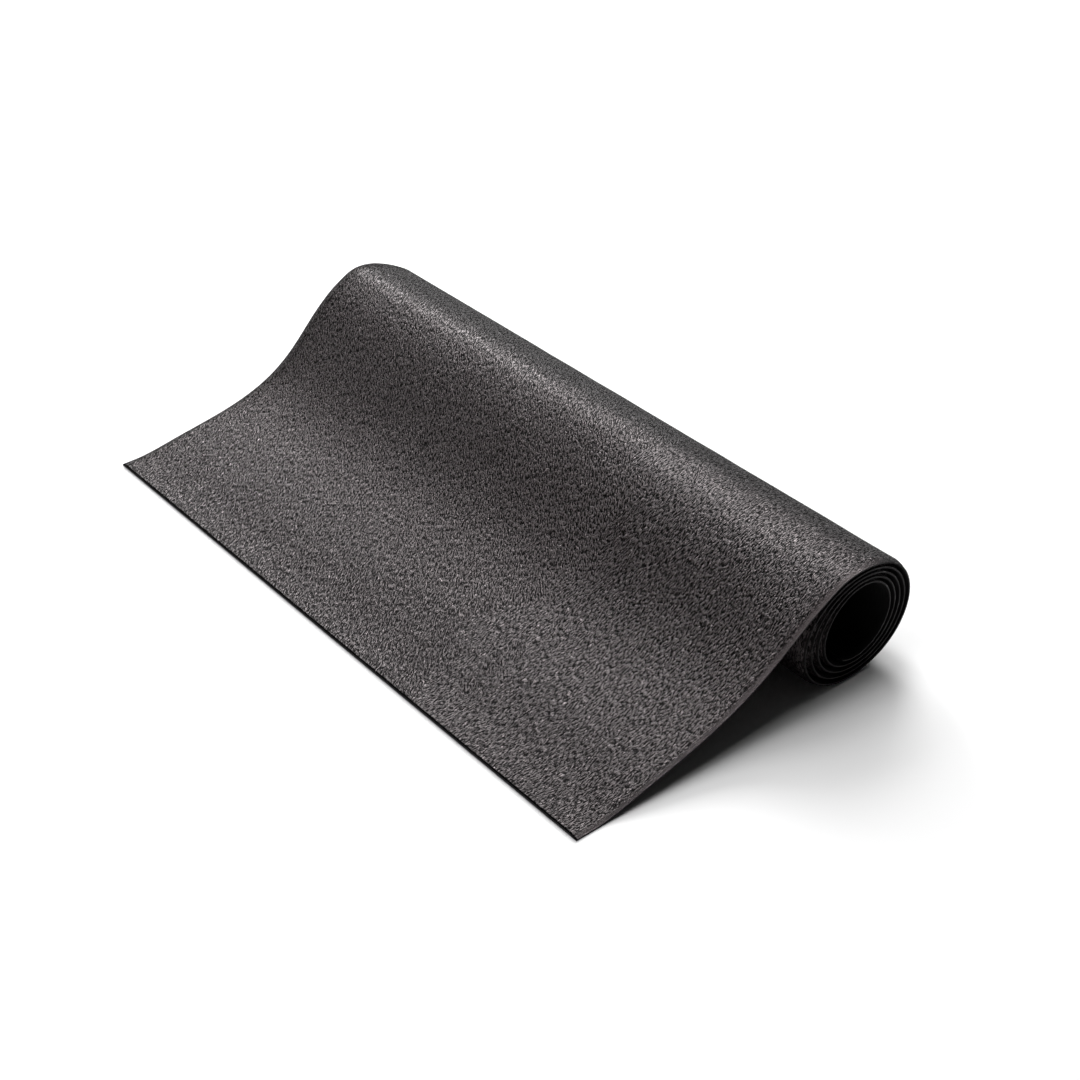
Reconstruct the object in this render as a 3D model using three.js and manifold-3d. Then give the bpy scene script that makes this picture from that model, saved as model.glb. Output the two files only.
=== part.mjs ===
// Anti fatigue mat: one long cushioned sheet, rolled up with its textured side
// out, its loose end running down off the coil onto the floor.
// Millimetres. +X runs along the coil, the loose end points to -Y, +Z is up.
// The origin is the middle of the footprint, at floor level.
import * as THREE from "three";
import { mergeVertices } from "three/addons/utils/BufferGeometryUtils.js";
import Module from "manifold-3d";

// ---- driving dimensions ------------------------------------------------------
const MAT_WIDTH = 914; // along the coil
const SHEET_THICKNESS = 4.8; // underside to the top of the skin
const SKIN_THICKNESS = 0.8; // embossed wear skin
const BOND_GAP = 0.3; // between the skin and the foam under it
const TURN_PITCH = 7.36; // mean distance from one turn of the coil to the next
const INNER_END = 1644; // degrees of coil, from its top, to the sheet's inner end
const EDGE_BEVEL = 10; // width of the pressed band along the two long edges
const EDGE_LIP = 1.9; // height of the sheet at its very edge there
const END_ROUND = 1.5; // the two ends are cut square, with the corner eased over this
const END_LIP = 3.6; // height of the sheet at its very end
const FOOTPRINT_DEPTH = 485.6; // front edge to the back of the coil

const COIL_Y = 398.89; // coil axis, counted from the front edge
const COIL_Z = 73.08; // coil axis, above the floor
const COIL_RADIUS = 78.24; // to the underside of the outermost turn
const COIL_OVAL = -6.78; // the coil is wider than it is tall
const OVAL_EASES = 1.54; // by this much less for each turn inwards
const COIL_SKEW = 1.68; // the oval leans towards the back
const INNER_RISE = 0.39; // each turn inwards sits this much higher
const INNER_BACK = 1.06; // and this much further back
const LOOSE_TURN = 12.3; // the left end of the outermost turn stands proud by this
const LOOSE_FROM = -18; // degrees where the loose turn starts to settle
const LOOSE_OVER = 60; // degrees it takes
const LEAVES_AT = -12; // degrees from the top where the sheet leaves the coil

const CUT_Y = 300; // where the loose end bends when it is lifted
const CUT_GAP = 0.3;

// Underside of the loose end, from the front edge up to the coil: distance from
// the front edge, height above the floor. The two ends of the mat differ a little.
const FLAP_RIGHT = [
  [0, 0], [6, 0], [12, 0], [23.5, 0], [35.43, 0.85], [52.19, 3.48],
  [68.94, 7.26], [85.59, 11.34], [102.19, 15.37], [118.75, 19.34],
  [135.29, 23.37], [151.78, 27.59], [168.17, 32.16], [184.43, 37.23],
  [200.49, 42.85], [216.32, 49.12], [231.87, 56.05], [247.07, 63.71],
  [261.9, 72.05], [276.36, 81.03], [290.49, 90.53], [304.47, 100.3],
  [318.61, 110], [333.04, 119.3], [347.9, 128], [363.33, 136.15],
];
const FLAP_LEFT = [
  [0, 0], [6, 0], [12, 0], [23.5, 0], [36.13, 0.83], [53.44, 3.1], [70.7, 5.87],
  [87.94, 8.59], [105.18, 11.16], [122.4, 13.63], [139.59, 16.31],
  [156.71, 19.39], [173.71, 23.05], [190.52, 27.52], [207.03, 32.99],
  [223.1, 39.62], [238.55, 47.59], [253.19, 56.96], [266.92, 67.63],
  [279.82, 79.3], [292.13, 91.6], [304.34, 104], [316.96, 116.05],
  [330.26, 127.35], [344.37, 137.65], [359.48, 146.4],
];

const STEP = 18; // degrees of coil for each facet
const END_EASE = 2; // degrees of coil that the inner end's eased corner takes
const STATIONS_X = [0, EDGE_BEVEL, 230, 457, 684, MAT_WIDTH - EDGE_BEVEL, MAT_WIDTH];

// ---- the sheet's underside, and how thick the sheet is -----------------------
const rad = (d) => (d * Math.PI) / 180;
const smooth = (t) => {
  t = Math.min(1, Math.max(0, t));
  return t * t * (3 - 2 * t);
};

// A point of the coil's underside spiral at an angle from the top towards the back.
function spiral(deg, left) {
  const a = rad(deg);
  const n = deg / 360;
  const r =
    COIL_RADIUS -
    TURN_PITCH * n +
    INNER_RISE * n * Math.cos(a) +
    INNER_BACK * n * Math.sin(a) +
    (COIL_OVAL + OVAL_EASES * n) * Math.cos(2 * a) +
    COIL_SKEW * Math.sin(2 * a) +
    left * LOOSE_TURN * (1 - smooth((deg - LOOSE_FROM) / LOOSE_OVER));
  return {
    p: [COIL_Y + r * Math.sin(a), COIL_Z + r * Math.cos(a)],
    n: [Math.sin(a), Math.cos(a)],
  };
}

// The whole cross-section at one station across the mat. left is 1 at the left end
// and 0 at the right end.
function section(left) {
  const pts = FLAP_RIGHT.map((r, i) => [
    r[0] + (FLAP_LEFT[i][0] - r[0]) * left,
    r[1] + (FLAP_LEFT[i][1] - r[1]) * left,
  ]);
  pts.splice(1, 0, [END_ROUND, 0]); // inner line of the front end's eased corner
  const flap = pts.length;
  const normals = [];
  const first = spiral(LEAVES_AT, left);
  for (let i = 0; i < flap; i++) {
    const a = pts[Math.max(0, i - 1)];
    const b = i + 1 < flap ? pts[i + 1] : first.p;
    const l = Math.hypot(b[0] - a[0], b[1] - a[1]);
    normals.push([-(b[1] - a[1]) / l, (b[0] - a[0]) / l]);
  }
  const out = pts.map((p, i) => ({ p, n: normals[i] }));
  for (let d = LEAVES_AT; d < INNER_END - 1e-6; d += STEP) out.push(spiral(d, left));
  out.push(spiral(INNER_END - END_EASE, left), spiral(INNER_END, left));
  // arc length from the front edge
  let s = 0;
  out.forEach((o, i) => {
    if (i) s += Math.hypot(o.p[0] - out[i - 1].p[0], o.p[1] - out[i - 1].p[1]);
    o.s = s;
  });
  out.forEach((o) => (o.toEnd = s - o.s));
  return out;
}

// Height of the sheet at a distance from its nearest long edge and its nearest end.
function height(side, end) {
  const s = Math.min(1, side / EDGE_BEVEL);
  const e = Math.min(1, end / END_ROUND);
  return Math.min(
    EDGE_LIP + (SHEET_THICKNESS - EDGE_LIP) * s,
    END_LIP + (SHEET_THICKNESS - END_LIP) * e,
  );
}

// One layer of the sheet as a closed solid. low and high give its two faces as
// heights above the underside, from the sheet's full height there.
function layer(low, high) {
  const cols = STATIONS_X.map((x) => {
    const sec = section(1 - x / MAT_WIDTH);
    return sec.map((o) => {
      const h = height(Math.min(x, MAT_WIDTH - x), Math.min(o.s, o.toEnd));
      const at = (k) => [
        x - MAT_WIDTH / 2,
        o.p[0] + o.n[0] * k - FOOTPRINT_DEPTH / 2,
        o.p[1] + o.n[1] * k,
      ];
      return [at(low(h)), at(high(h))];
    });
  });
  const nx = cols.length;
  const ns = cols[0].length;
  const pos = [];
  const id = (i, j, k) => (i * ns + j) * 2 + k;
  for (const c of cols) for (const o of c) pos.push(...o[0], ...o[1]);
  const tri = [];
  const quad = (a, b, c, d) => tri.push(a, b, c, a, c, d);
  for (let i = 0; i + 1 < nx; i++)
    for (let j = 0; j + 1 < ns; j++) {
      quad(id(i, j, 1), id(i + 1, j, 1), id(i + 1, j + 1, 1), id(i, j + 1, 1));
      quad(id(i, j, 0), id(i, j + 1, 0), id(i + 1, j + 1, 0), id(i + 1, j, 0));
    }
  for (let j = 0; j + 1 < ns; j++) {
    quad(id(0, j, 0), id(0, j, 1), id(0, j + 1, 1), id(0, j + 1, 0));
    const e = nx - 1;
    quad(id(e, j, 0), id(e, j + 1, 0), id(e, j + 1, 1), id(e, j, 1));
  }
  for (let i = 0; i + 1 < nx; i++) {
    quad(id(i, 0, 0), id(i + 1, 0, 0), id(i + 1, 0, 1), id(i, 0, 1));
    const e = ns - 1;
    quad(id(i, e, 0), id(i, e, 1), id(i + 1, e, 1), id(i + 1, e, 0));
  }
  const g = new THREE.BufferGeometry();
  g.setAttribute("position", new THREE.Float32BufferAttribute(pos, 3));
  g.setIndex(tri);
  return g;
}

// ---- cutting each layer where the loose end bends ----------------------------
const wasm = await Module();
wasm.setup();

function solid(geometry) {
  const g = geometry.index ? geometry.clone() : geometry;
  g.deleteAttribute("normal");
  g.deleteAttribute("uv");
  const m = mergeVertices(g, 1e-4);
  return new wasm.Manifold(
    new wasm.Mesh({
      numProp: 3,
      vertProperties: new Float32Array(m.attributes.position.array),
      triVerts: new Uint32Array(m.index.array),
    }),
  );
}

function geometryOf(s) {
  const m = s.getMesh();
  const g = new THREE.BufferGeometry();
  g.setAttribute("position", new THREE.BufferAttribute(m.vertProperties, 3));
  g.setIndex(new THREE.BufferAttribute(m.triVerts, 1));
  return g;
}

function half(sign) {
  const depth = 600;
  const box = new THREE.BoxGeometry(MAT_WIDTH + 100, depth, 600);
  box.translate(
    0,
    CUT_Y - FOOTPRINT_DEPTH / 2 + sign * (depth / 2 + CUT_GAP / 2),
    150,
  );
  return solid(box);
}
const front = half(-1);
const back = half(1);

const skinLayer = solid(layer((h) => h - SKIN_THICKNESS, (h) => h));
const foamLayer = solid(layer(() => 0, (h) => h - SKIN_THICKNESS - BOND_GAP));

const skinMaterial = () =>
  new THREE.MeshStandardMaterial({ color: 0x2b2a2a, roughness: 0.55, metalness: 0 });
const foamMaterial = () =>
  new THREE.MeshStandardMaterial({ color: 0x141314, roughness: 0.85, metalness: 0 });

const mat = new THREE.Group();
const add = (name, s, material) => {
  const mesh = new THREE.Mesh(geometryOf(s), material);
  mesh.geometry.computeVertexNormals();
  mesh.name = name;
  mat.add(mesh);
};
add("coil_skin", skinLayer.intersect(back), skinMaterial());
add("coil_foam", foamLayer.intersect(back), foamMaterial());
add("flap_skin", skinLayer.intersect(front), skinMaterial());
add("flap_foam", foamLayer.intersect(front), foamMaterial());

export default mat;
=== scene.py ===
import math

import bpy
import numpy as np
from mathutils import Matrix


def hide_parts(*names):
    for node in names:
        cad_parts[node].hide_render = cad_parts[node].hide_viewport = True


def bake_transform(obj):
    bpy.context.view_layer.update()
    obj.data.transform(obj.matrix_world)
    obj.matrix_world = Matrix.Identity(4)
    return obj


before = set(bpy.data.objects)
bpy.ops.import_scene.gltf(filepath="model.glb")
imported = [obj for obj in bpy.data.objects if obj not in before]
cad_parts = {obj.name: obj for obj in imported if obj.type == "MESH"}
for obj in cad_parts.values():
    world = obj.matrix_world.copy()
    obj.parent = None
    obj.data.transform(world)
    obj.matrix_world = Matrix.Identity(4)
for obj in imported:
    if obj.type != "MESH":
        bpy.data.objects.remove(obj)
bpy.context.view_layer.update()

# ---------------------------------------------------------------- the sheet, in mm
MAT_WIDTH = 914.0
SHEET = 4.8
SKIN = 0.85
PITCH = 7.36
INNER_END = 1644.0
BEVEL = 10.0
LIP = 1.9
END_ROUND = 1.3
END_LIP = 4.1
DEPTH = 485.6
COIL_Y, COIL_Z, COIL_R = 398.89, 73.08, 78.24
OVAL, OVAL_EASES, SKEW = -6.78, 1.54, 1.68
RISE, BACK = 0.39, 1.06
LOOSE, LOOSE_FROM, LOOSE_OVER, LEAVES = 12.3, -18.0, 60.0, -12.0

FLAP_RIGHT = [
    (0, 0), (6, 0), (12, 0), (23.5, 0), (35.43, 0.85), (52.19, 3.48),
    (68.94, 7.26), (85.59, 11.34), (102.19, 15.37), (118.75, 19.34),
    (135.29, 23.37), (151.78, 27.59), (168.17, 32.16), (184.43, 37.23),
    (200.49, 42.85), (216.32, 49.12), (231.87, 56.05), (247.07, 63.71),
    (261.9, 72.05), (276.36, 81.03), (290.49, 90.53), (304.47, 100.3),
    (318.61, 110), (333.04, 119.3), (347.9, 128), (363.33, 136.15),
]
FLAP_LEFT = [
    (0, 0), (6, 0), (12, 0), (23.5, 0), (36.13, 0.83), (53.44, 3.1), (70.7, 5.87),
    (87.94, 8.59), (105.18, 11.16), (122.4, 13.63), (139.59, 16.31),
    (156.71, 19.39), (173.71, 23.05), (190.52, 27.52), (207.03, 32.99),
    (223.1, 39.62), (238.55, 47.59), (253.19, 56.96), (266.92, 67.63),
    (279.82, 79.3), (292.13, 91.6), (304.34, 104), (316.96, 116.05),
    (330.26, 127.35), (344.37, 137.65), (359.48, 146.4),
]


def smooth(t):
    t = np.clip(t, 0.0, 1.0)
    return t * t * (3 - 2 * t)


def spiral(deg, left):
    a = np.radians(deg)
    n = deg / 360
    r = (
        COIL_R
        - PITCH * n
        + RISE * n * np.cos(a)
        + BACK * n * np.sin(a)
        + (OVAL + OVAL_EASES * n) * np.cos(2 * a)
        + SKEW * np.sin(2 * a)
        + left * LOOSE * (1 - smooth((deg - LOOSE_FROM) / LOOSE_OVER))
    )
    return np.stack([COIL_Y + r * np.sin(a), COIL_Z + r * np.cos(a)], -1)


class Spline:
    """Natural cubic spline through points, by a given parameter."""

    def __init__(self, t, p):
        self.t, self.p = np.asarray(t, float), np.asarray(p, float)
        n = len(t)
        h = np.diff(self.t)
        m = np.zeros((n, n))
        rhs = np.zeros((n, self.p.shape[1]))
        m[0, 0] = m[-1, -1] = 1
        for i in range(1, n - 1):
            m[i, i - 1], m[i, i], m[i, i + 1] = h[i - 1], 2 * (h[i - 1] + h[i]), h[i]
            rhs[i] = 6 * (
                (self.p[i + 1] - self.p[i]) / h[i]
                - (self.p[i] - self.p[i - 1]) / h[i - 1]
            )
        self.m = np.linalg.solve(m, rhs)

    def __call__(self, x, d=0):
        i = np.clip(np.searchsorted(self.t, x) - 1, 0, len(self.t) - 2)
        h = (self.t[i + 1] - self.t[i])[:, None]
        a = (self.t[i + 1] - x)[:, None] / h
        b = 1 - a
        p0, p1, m0, m1 = self.p[i], self.p[i + 1], self.m[i], self.m[i + 1]
        if d == 0:
            return a * p0 + b * p1 + ((a**3 - a) * m0 + (b**3 - b) * m1) * h * h / 6
        return (p1 - p0) / h + (-(3 * a * a - 1) * m0 + (3 * b * b - 1) * m1) * h / 6


deg = np.arange(LEAVES, INNER_END + 1e-6, 6.0)
ctrl_r = np.vstack([FLAP_RIGHT, spiral(deg, 0.0)])
ctrl_l = np.vstack([FLAP_LEFT, spiral(deg, 1.0)])
step = 0.5 * (
    np.linalg.norm(np.diff(ctrl_r, axis=0), axis=1)
    + np.linalg.norm(np.diff(ctrl_l, axis=0), axis=1)
)
T = np.r_[0, np.cumsum(step)]
UNDER_R, UNDER_L = Spline(T, ctrl_r), Spline(T, ctrl_l)
LENGTH = float(T[-1])  # the sheet's length, about 2.2 m
T_LEAVES = float(T[len(FLAP_RIGHT)])
T_COVERED = float(T[len(FLAP_RIGHT) + 60])  # one turn on, where the next turn hides it


def surface(x, t, height):
    """Points at height above the underside: x along the coil (0 left to MAT_WIDTH), t along the sheet."""
    left = (1 - x / MAT_WIDTH)[:, None]
    p = UNDER_R(t) * (1 - left) + UNDER_L(t) * left
    d = UNDER_R(t, 1) * (1 - left) + UNDER_L(t, 1) * left
    d /= np.linalg.norm(d, axis=1)[:, None]
    n = np.stack([-d[:, 1], d[:, 0]], -1)
    p = p + n * height[:, None]
    return np.stack([x - MAT_WIDTH / 2, p[:, 0] - DEPTH / 2, p[:, 1]], -1) / 1000


def edge_distance(x, t):
    return np.minimum(np.minimum(x, MAT_WIDTH - x), np.minimum(t, LENGTH - t))


def full_height(x, t):
    """Height of the sheet: a wide pressed band along the two sides, the two ends cut square with an eased corner."""
    u = np.clip((np.minimum(x, MAT_WIDTH - x) - 0.8) / (BEVEL - 0.8), 0, 1)
    v = np.clip(np.minimum(t, LENGTH - t) / END_ROUND, 0, 1)
    side_h = LIP + (SHEET - LIP) * (1 - (1 - u) ** 1.5)
    return np.minimum(side_h, END_LIP + (SHEET - END_LIP) * np.sqrt(1 - (1 - v) ** 2))


def waves(x, t, length, seed, count=18):
    """Smooth random relief, about -1 to 1, from plane waves near one wavelength."""
    rng = np.random.default_rng(seed)
    out = np.zeros(len(x))
    for _ in range(count):
        a = rng.uniform(0, 2 * math.pi)
        k = 2 * math.pi / (length * rng.uniform(0.75, 1.4))
        out += np.cos(k * (math.cos(a) * x + math.sin(a) * t) + rng.uniform(0, 2 * math.pi))
    return np.clip(out / (1.5 * math.sqrt(count)), -1, 1)


def top_height(x, t):
    """The skin's top: never quite flat, with a slow waviness and a shallow quilting, only ever downwards."""
    fade = smooth(edge_distance(x, t) / 14.0)
    dip = 0.20 * (waves(x, t, 95.0, 3) - 1) + 0.05 * (waves(x, t, 11.0, 5) - 1)
    return full_height(x, t) + fade * dip


def grade(points):
    return np.array(sorted(set(np.round(points, 4))))


def zip_rows(a, b):
    """Triangles between two rows of vertices, each given as (position along, index)."""
    out, i, j = [], 0, 0
    while i + 1 < len(a) or j + 1 < len(b):
        if j + 1 >= len(b) or (i + 1 < len(a) and a[i + 1][0] <= b[j + 1][0]):
            out.append((a[i][1], a[i + 1][1], b[j][1]))
            i += 1
        else:
            out.append((a[i][1], b[j + 1][1], b[j][1]))
            j += 1
    return out


def side(a, b, c):
    """Stations over one pressed edge, a to b, closing up on a."""
    return a + (b - a) * np.linspace(0, 1, c) ** 1.3


def x_stations(pitch, edge):
    mid = np.linspace(BEVEL, MAT_WIDTH - BEVEL, max(2, int(round((MAT_WIDTH - 2 * BEVEL) / pitch)) + 1))
    e = side(0, BEVEL, edge)
    return grade(np.r_[e, mid, MAT_WIDTH - e])


def t_stations(a, b, pitch):
    return np.linspace(a, b, max(2, int(round((b - a) / pitch)) + 1))


def grid_mesh(name, xs, blocks, low, high):
    """One closed layer of the sheet. blocks are (x stations, t stations) patches that follow on from each other along the sheet;
    xs is for the hidden face. low and high give the two faces' heights."""
    verts, uv, faces = [], [], []
    count = 0

    def rows(stations_x, stations_t, h):
        nonlocal count
        X, Y = np.meshgrid(stations_x, stations_t)
        x, t = X.ravel(), Y.ravel()
        verts.append(surface(x, t, h(x, t)))
        uv.append(np.stack([x, t], -1) / 1000)
        ids = np.arange(count, count + len(x)).reshape(len(stations_t), len(stations_x))
        count += len(x)
        return ids

    def quads(ids, flip):
        a, b, c, d = ids[:-1, :-1], ids[:-1, 1:], ids[1:, 1:], ids[1:, :-1]
        q = np.stack([a, b, c, d] if not flip else [a, d, c, b], -1).reshape(-1, 4)
        faces.extend(map(tuple, q.tolist()))

    tops, all_t = [], []
    for bx, bt in blocks:
        ids = rows(bx, bt, high)
        quads(ids, False)
        tops.append((bx, bt, ids))
        all_t.append(bt)
    for (ax, at, aid), (bx, bt, bid) in zip(tops, tops[1:]):
        for tri in zip_rows(list(zip(ax, aid[-1])), list(zip(bx, bid[0]))):
            faces.append(tri)
    tt = np.concatenate(all_t)
    under = rows(xs, tt, low)
    quads(under, True)
    left = [int(i) for b in tops for i in b[2][:, 0]]
    right = [int(i) for b in tops for i in b[2][:, -1]]
    for j in range(len(tt) - 1):
        faces.append((left[j + 1], int(under[j + 1, 0]), int(under[j, 0]), left[j]))
        faces.append((right[j], int(under[j, -1]), int(under[j + 1, -1]), right[j + 1]))
    for tri in zip_rows(list(zip(xs, under[0])), list(zip(tops[0][0], tops[0][2][0]))):
        faces.append(tuple(int(v) for v in tri))
    for tri in zip_rows(list(zip(tops[-1][0], tops[-1][2][-1])), list(zip(xs, under[-1]))):
        faces.append(tuple(int(v) for v in tri))
    v = np.concatenate(verts)
    me = bpy.data.meshes.new(name)
    me.from_pydata(v.tolist(), [], faces)
    me.validate()
    lay = me.uv_layers.new(name="Sheet")
    loops = np.zeros(len(me.loops), np.int64)
    me.loops.foreach_get("vertex_index", loops)
    lay.data.foreach_set("uv", np.concatenate(uv)[loops].astype(np.float32).ravel())
    me.polygons.foreach_set("use_smooth", [True] * len(me.polygons))
    ob = bpy.data.objects.new(name, me)
    bpy.context.scene.collection.objects.link(ob)
    return ob


# ---------------------------------------------------------------- pieces
FINE = 2.4
xf = x_stations(FINE, 12)
xc = x_stations(14.0, 12)
end = END_ROUND * (1 - np.cos(np.linspace(0, math.pi / 2, 5)))
front = grade(np.r_[end, t_stations(END_ROUND, T_COVERED, FINE)])
inner = t_stations(T_COVERED + 3.5, LENGTH - END_ROUND, 3.5)
inner = grade(np.r_[inner, LENGTH - end])

skin = grid_mesh(
    "embossed_skin",
    xc,
    [(xf, front), (xc, inner)],
    lambda x, t: full_height(x, t) - SKIN,
    top_height,
)
foam = grid_mesh(
    "foam_cushion",
    xc,
    [(xc, grade(np.r_[end, t_stations(END_ROUND, T_COVERED, 3.5)])), (xc, inner)],
    lambda x, t: 0 * x,
    lambda x, t: full_height(x, t) - SKIN + 0.02,
)

# ---------------------------------------------------------------- materials
def material(name):
    m = bpy.data.materials.new(name)
    m.use_nodes = True
    nt = m.node_tree
    for n in list(nt.nodes):
        if n.type not in ("BSDF_PRINCIPLED", "OUTPUT_MATERIAL"):
            nt.nodes.remove(n)
    return m, nt, nt.nodes["Principled BSDF"]


class Nodes:
    def __init__(self, nt):
        self.nt = nt

    def new(self, kind, **props):
        n = self.nt.nodes.new(kind)
        for k, v in props.items():
            setattr(n, k, v)
        return n

    def link(self, a, b):
        self.nt.links.new(a, b)

    def put(self, socket, value):
        if isinstance(value, bpy.types.NodeSocket):
            self.link(value, socket)
        else:
            socket.default_value = value

    def math(self, op, a, b=None, clamp=False):
        n = self.new("ShaderNodeMath", operation=op, use_clamp=clamp)
        self.put(n.inputs[0], a)
        if b is not None:
            self.put(n.inputs[1], b)
        return n.outputs[0]

    def vmath(self, op, a, b=None):
        n = self.new("ShaderNodeVectorMath", operation=op)
        self.put(n.inputs[0], a)
        if b is not None:
            self.put(n.inputs[1], b)
        return n.outputs[0]

    def ramp(self, value, a, b, lo=0.0, hi=1.0, kind="SMOOTHSTEP"):
        n = self.new("ShaderNodeMapRange", interpolation_type=kind)
        self.put(n.inputs["Value"], value)
        for k, v in (("From Min", a), ("From Max", b), ("To Min", lo), ("To Max", hi)):
            self.put(n.inputs[k], v)
        return n.outputs["Result"]

    def mix(self, f, a, b):
        n = self.new("ShaderNodeMix", data_type="RGBA")
        self.put(n.inputs["Factor"], f)
        self.put(n.inputs["A"], a)
        self.put(n.inputs["B"], b)
        return n.outputs["Result"]

    def noise(self, vec, scale, detail=2.0, rough=0.5, dims="2D"):
        n = self.new("ShaderNodeTexNoise", noise_dimensions=dims)
        self.put(n.inputs["Vector"], vec)
        n.inputs["Scale"].default_value = scale
        n.inputs["Detail"].default_value = detail
        n.inputs["Roughness"].default_value = rough
        return n

    def voronoi(self, vec, feature="DISTANCE_TO_EDGE", randomness=1.0, scale=1.0):
        n = self.new("ShaderNodeTexVoronoi", voronoi_dimensions="2D", feature=feature)
        self.put(n.inputs["Vector"], vec)
        n.inputs["Scale"].default_value = scale
        n.inputs["Randomness"].default_value = randomness
        return n


def uv_of(N):
    u = N.new("ShaderNodeUVMap", uv_map="Sheet")
    s = N.new("ShaderNodeSeparateXYZ")
    N.link(u.outputs["UV"], s.inputs[0])
    x, t = s.outputs["X"], s.outputs["Y"]
    ex = N.math("MINIMUM", x, N.math("SUBTRACT", MAT_WIDTH / 1000, x))
    et = N.math("MINIMUM", t, N.math("SUBTRACT", LENGTH / 1000, t))
    return u.outputs["UV"], x, t, N.math("MINIMUM", ex, et), ex, et


def grain_layer(N, uv, lean, wide, long):
    """Short pebbles drawn out along the sheet, leaning from it by an angle: their relief, and three random numbers each."""
    turned = N.new("ShaderNodeVectorRotate", rotation_type="Z_AXIS")
    N.link(uv, turned.inputs["Vector"])
    turned.inputs["Angle"].default_value = lean
    along = turned.outputs["Vector"]
    warp = N.noise(N.vmath("MULTIPLY", along, (450.0, 260.0, 0.0)), 1.0, 2.0, 0.6)
    w = N.vmath("SUBTRACT", warp.outputs["Color"], (0.5, 0.5, 0.5))
    base = N.vmath("MULTIPLY", along, (1 / wide, 1 / long, 0.0))
    p = N.vmath("ADD", base, N.vmath("MULTIPLY", w, (1.0, 0.45, 0.0)))
    pebble = N.ramp(N.voronoi(p).outputs["Distance"], 0.02, 0.30)
    tone = N.new("ShaderNodeSeparateXYZ")
    N.link(N.voronoi(p, feature="F1").outputs["Color"], tone.inputs[0])
    tall = N.ramp(tone.outputs["X"], 0.0, 1.0, 0.40, 1.0)
    worm = N.noise(N.vmath("MULTIPLY", along, (620.0, 160.0, 0.0)), 1.0, 2.0, 0.65).outputs["Fac"]
    worm = N.ramp(worm, 0.36, 0.64)
    relief = N.math("ADD", N.math("MULTIPLY", N.math("MULTIPLY", pebble, tall), 0.45), N.math("MULTIPLY", worm, 0.55))
    return relief, worm, tone.outputs["Y"], tone.outputs["Z"]


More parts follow.
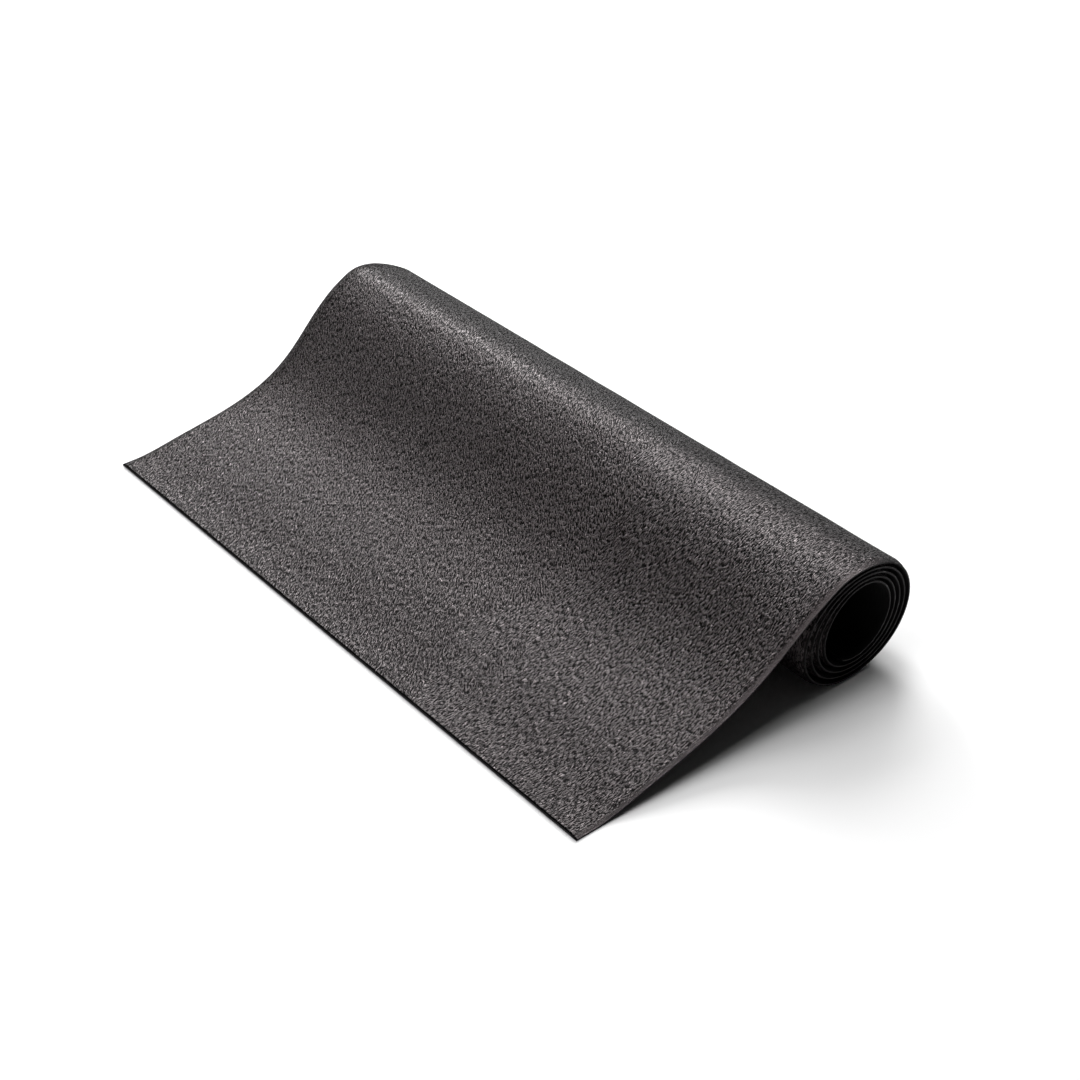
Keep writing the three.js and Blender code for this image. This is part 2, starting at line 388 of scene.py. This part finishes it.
def skin_material():
    m, nt, bsdf = material("Embossed skin")
    N = Nodes(nt)
    uv, x, t, edge, ex, et = uv_of(N)
    slow = N.noise(uv, 14.0, 3.0, 0.5).outputs["Fac"]
    # the grain leans over most of the sheet and runs straight along it near the right end
    straight = N.ramp(N.math("ADD", x, N.math("MULTIPLY", N.math("SUBTRACT", slow, 0.5), 0.3)), 0.605, 0.635)
    one, two = grain_layer(N, uv, -0.66, 0.0017, 0.0050), grain_layer(N, uv, 0.0, 0.0020, 0.0056)
    relief, worm, tone_y, tone_z = [
        N.math("ADD", N.math("MULTIPLY", q, N.math("SUBTRACT", 1.0, straight)), N.math("MULTIPLY", r, straight))
        for q, r in zip(one, two)
    ]
    fine = N.noise(uv, 1500.0, 2.0, 0.6).outputs["Fac"]
    # the grain breaks up into the pressed band along the two long edges
    edge_in = N.math("ADD", ex, N.math("MULTIPLY", N.math("SUBTRACT", worm, 0.5), 0.003))
    grain = N.ramp(edge_in, 0.0014, 0.0056)
    smooth_part = N.math("SUBTRACT", 1.0, grain)
    bump = N.new("ShaderNodeBump")
    bump.inputs["Strength"].default_value = 1.0
    bump.inputs["Distance"].default_value = 0.00082
    band = N.math("MULTIPLY", N.noise(uv, 700.0, 3.0, 0.7).outputs["Fac"], 0.9)
    h = N.math("ADD", relief, N.math("MULTIPLY", fine, 0.22))
    h = N.math("ADD", N.math("MULTIPLY", h, grain), N.math("MULTIPLY", band, smooth_part))
    N.link(h, bump.inputs["Height"])
    N.link(bump.outputs[0], bsdf.inputs["Normal"])
    # colour: grooves darker, painted shade; the cut ends darker, partly the dark foam showing and partly painted shade;
    # pebbles and areas vary and the front of the sheet is darker in colour and gloss, painted shade
    dark_ends_and_painted_shade = N.math("MULTIPLY", N.ramp(et, 0.0008, 0.0024), N.ramp(t, 0.09, 0.20, 0.78, 1.0))
    vary = N.math("ADD", N.math("MULTIPLY", slow, 0.5), N.math("MULTIPLY", tone_y, 0.5))
    top = N.mix(vary, (0.012, 0.0094, 0.0097, 1), (0.032, 0.0262, 0.0269, 1))
    high = N.ramp(relief, 0.18, 0.74)
    # painted shade: the band is darker and less glossy where it is coiled up and towards the left side; painted sheen:
    # it is lighter and glossier where the right edge bends up
    coiled_painted_shade = N.ramp(t, 0.41, 0.50, 1.0, 0.10)
    band_with_painted_light = N.math("MULTIPLY", smooth_part, coiled_painted_shade)
    bend_painted_sheen = N.math("MULTIPLY", N.ramp(t, 0.18, 0.32), N.ramp(x, 0.45, 0.85))
    band_with_painted_light = N.math("MULTIPLY", band_with_painted_light, N.math("ADD", N.ramp(x, 0.1, 0.6, 0.55, 1.0), N.math("MULTIPLY", bend_painted_sheen, 0.7)))
    # painted shade: the grooves between the pebble tops are darker in colour, and below also less glossy
    lit = N.math("ADD", N.math("MULTIPLY", high, grain), N.math("MULTIPLY", band_with_painted_light, 0.35))
    N.link(N.mix(N.math("MULTIPLY", lit, dark_ends_and_painted_shade), (0.0018, 0.0015, 0.0016, 1), top), bsdf.inputs["Base Color"])
    # a few polished pebble tops glint
    glint = N.math("MULTIPLY", N.ramp(tone_z, 0.82, 0.90), high)
    rough = N.ramp(fine, 0.3, 0.7, 0.26, 0.36)
    rough = N.math("SUBTRACT", rough, N.math("MULTIPLY", glint, 0.08), clamp=True)
    N.link(rough, bsdf.inputs["Roughness"])
    # the rough surface doesn't mirror at a glancing angle
    weight = N.new("ShaderNodeLayerWeight")
    glance = N.math("EXPONENT", N.math("MULTIPLY", N.math("SUBTRACT", 0.48, weight.outputs["Facing"]), 11.0), clamp=True)
    # the gloss follows the same painted shade: low in the grooves, high on the pebble tops
    sheen = N.math("ADD", N.ramp(lit, 0.0, 1.0, 0.03, 0.80), N.math("MULTIPLY", band_with_painted_light, 0.40))
    sheen = N.math("ADD", sheen, N.math("MULTIPLY", glint, 0.6))
    # painted shade: the left edge is less glossy where it runs up the slope
    left_edge_painted_shade = N.math("MULTIPLY", N.ramp(x, 0.004, 0.034, 1.0, 0.0), N.ramp(t, 0.12, 0.24))
    sheen = N.math("MULTIPLY", sheen, N.math("SUBTRACT", 1.0, N.math("MULTIPLY", left_edge_painted_shade, 0.65)))
    sheen = N.math("MULTIPLY", N.math("MULTIPLY", sheen, dark_ends_and_painted_shade), glance, clamp=True)
    N.link(sheen, bsdf.inputs["Specular IOR Level"])
    bsdf.inputs["Specular Tint"].default_value = (1.0, 0.87, 0.88, 1.0)
    return m


def foam_material():
    m, nt, bsdf = material("Foam cushion")
    N = Nodes(nt)
    uv, x, t, edge, ex, et = uv_of(N)
    streak = N.noise(N.vmath("MULTIPLY", uv, (1400.0, 60.0, 0.0)), 1.0, 2.0, 0.6).outputs["Fac"]
    fine = N.noise(uv, 1800.0, 2.0, 0.6).outputs["Fac"]
    bump = N.new("ShaderNodeBump")
    bump.inputs["Strength"].default_value = 0.35
    bump.inputs["Distance"].default_value = 0.0003
    N.link(N.math("ADD", streak, N.math("MULTIPLY", fine, 0.5)), bump.inputs["Height"])
    N.link(bump.outputs[0], bsdf.inputs["Normal"])
    # the foam's own near-black colour, made darker still as painted shade for the coil end and its eye
    c = N.mix(N.noise(uv, 20.0, 3.0, 0.5).outputs["Fac"], (0.0030, 0.0025, 0.0027, 1), (0.0060, 0.0050, 0.0054, 1))
    N.link(c, bsdf.inputs["Base Color"])
    N.link(N.ramp(streak, 0.3, 0.7, 0.62, 0.78), bsdf.inputs["Roughness"])
    bsdf.inputs["Specular IOR Level"].default_value = 0.24
    return m


skin.data.materials.append(skin_material())
foam.data.materials.append(foam_material())
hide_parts("coil_skin", "flap_skin")
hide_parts("coil_foam", "flap_foam")
for piece in (skin, foam):
    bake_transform(piece)

# ---------------------------------------------------------------- floor, light, camera
bpy.ops.mesh.primitive_plane_add(size=24, location=(0, 0, -0.0002))
floor = bpy.context.object
floor.name = "floor"
fm, fnt, fb = material("Floor")
fb.inputs["Base Color"].default_value = (0.9, 0.9, 0.9, 1)
fb.inputs["Roughness"].default_value = 0.9
fb.inputs["Specular IOR Level"].default_value = 0.1
floor.data.materials.append(fm)

# a pale wall curving up round the floor, seen by the camera only, so that low views have a pale background
turns = np.linspace(0, 2 * math.pi, 96, endpoint=False)
cove = [(3.4 + math.sin(a), 1.0 - math.cos(a)) for a in np.linspace(0, math.pi / 2, 9)] + [(4.4, 9.0)]
wall_mesh = bpy.data.meshes.new("wall")
wall_mesh.from_pydata(
    [(r * math.cos(a), r * math.sin(a), z) for r, z in cove for a in turns],
    [],
    [
        (k * 96 + i, k * 96 + (i + 1) % 96, (k + 1) * 96 + (i + 1) % 96, (k + 1) * 96 + i)
        for k in range(len(cove) - 1)
        for i in range(96)
    ],
)
wall = bpy.data.objects.new("wall", wall_mesh)
bpy.context.scene.collection.objects.link(wall)
wm, wnt, wb = material("Wall")
wb.inputs["Base Color"].default_value = (0.0, 0.0, 0.0, 1)
wb.inputs["Specular IOR Level"].default_value = 0.0
wb.inputs["Emission Color"].default_value = (1, 1, 1, 1)
wb.inputs["Emission Strength"].default_value = 1.0
wall_mesh.materials.append(wm)
for kind in ("diffuse", "glossy", "transmission", "volume_scatter", "shadow"):
    setattr(wall, "visible_" + kind, False)

world = bpy.data.worlds.new("Studio")
bpy.context.scene.world = world
world.use_nodes = True
world.node_tree.nodes["Background"].inputs[0].default_value = (1, 1, 1, 1)
world.node_tree.nodes["Background"].inputs[1].default_value = 0.026


def area(name, loc, target, size, power, size_y=None):
    l = bpy.data.lights.new(name, "AREA")
    l.energy = power
    l.shape = "RECTANGLE"
    l.size = size
    l.size_y = size_y or size
    o = bpy.data.objects.new(name, l)
    bpy.context.scene.collection.objects.link(o)
    o.location = loc
    from mathutils import Vector

    o.rotation_euler = (Vector(target) - Vector(loc)).to_track_quat("-Z", "Y").to_euler()
    return o


def soft(name, direction, size, power, distance=6.0):
    d = np.array(direction, float)
    d *= distance / np.linalg.norm(d)
    return area(name, tuple(d), (0, 0, 0.05), size, power)


soft("over", (-0.55, 0.6, 0.58), 2, 193)
soft("low_left", (-0.72, 0.6, 0.34), 2, 29)
soft("top", (-0.16, -0.36, 0.92), 2, 101)
soft("behind", (-0.2, 0.75, 0.62), 2, 20)
soft("left", (-0.85, 0.35, 0.4), 2, 170)
soft("side", (-0.72, 0.2, 0.66), 2, 95)
soft("front", (0, -0.8, 0.6), 2, 38)
soft("above", (0, 0.05, 1), 2, 41)
soft("high", (-0.35, 0.3, 0.89), 2, 122)

f, pitch, yaw = 1978.18171, 0.60107, -0.88474
cx, cy, cz = 2.21838, -1.05097, 1.50408
W = MAT_WIDTH / 1000
cam = bpy.data.cameras.new("camera")
cam.sensor_width = 36
cam.lens = f / 1080 * 36
cam.clip_end = 50
co = bpy.data.objects.new("camera", cam)
bpy.context.scene.collection.objects.link(co)
fw = np.array([math.sin(yaw) * math.cos(pitch), math.cos(yaw) * math.cos(pitch), -math.sin(pitch)])
right = np.array([math.cos(yaw), -math.sin(yaw), 0.0])
up = np.cross(right, fw)
# the camera is rolled a little: turn it about the mat's front edge
TILT, SHIFT_Y = 0.0221446, 0.0015
ct, st = math.cos(TILT), math.sin(TILT)
turn = np.array([[1, 0, 0], [0, ct, st], [0, -st, ct]])
fw, right, up = turn @ fw, turn @ right, turn @ up
loc = turn @ np.array([(cx - 0.5) * W, cy * W, cz * W]) + [0, SHIFT_Y - DEPTH / 2000, 0]
co.matrix_world = Matrix(
    [
        [right[0], up[0], -fw[0], loc[0]],
        [right[1], up[1], -fw[1], loc[1]],
        [right[2], up[2], -fw[2], loc[2]],
        [0, 0, 0, 1],
    ]
)
bpy.context.scene.camera = co
bpy.context.scene.view_settings.view_transform = "Standard"
